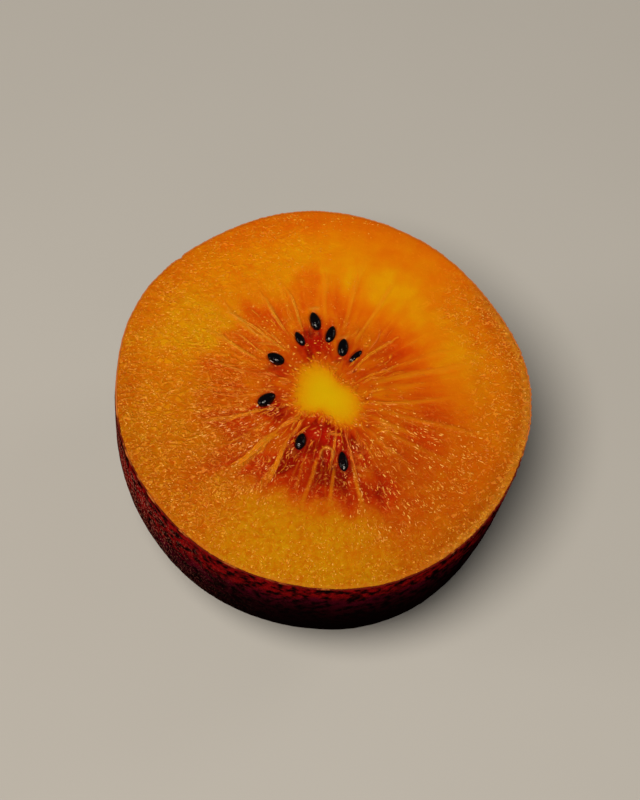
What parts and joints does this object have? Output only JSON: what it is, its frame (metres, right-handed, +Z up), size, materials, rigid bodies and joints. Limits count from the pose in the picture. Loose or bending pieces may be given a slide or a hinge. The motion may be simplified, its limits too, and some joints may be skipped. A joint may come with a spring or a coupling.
{
  "type": "halved golden kiwifruit",
  "caption": "Half of a golden kiwifruit with a reddish middle, cut across, standing cut face up on its blunt end.",
  "frame": {"origin": "on the ground plane under the middle of the half fruit's box", "axes": "+Z up, out of the cut face, which is level; +X to the right and +Y away from the viewer of the picture"},
  "size_m": [0.0506, 0.0518, 0.0302],
  "materials": {
    "flesh": "wet, translucent golden-orange flesh, redder round a yellow core",
    "skin": "thin dull skin, dark maroon brown with fine black mottling",
    "seed": "wet black seed coat with a fine net of pits"
  },
  "bodies": {
    "root": {"kiwi_half": "flesh"}
  },
  "joints": []
}
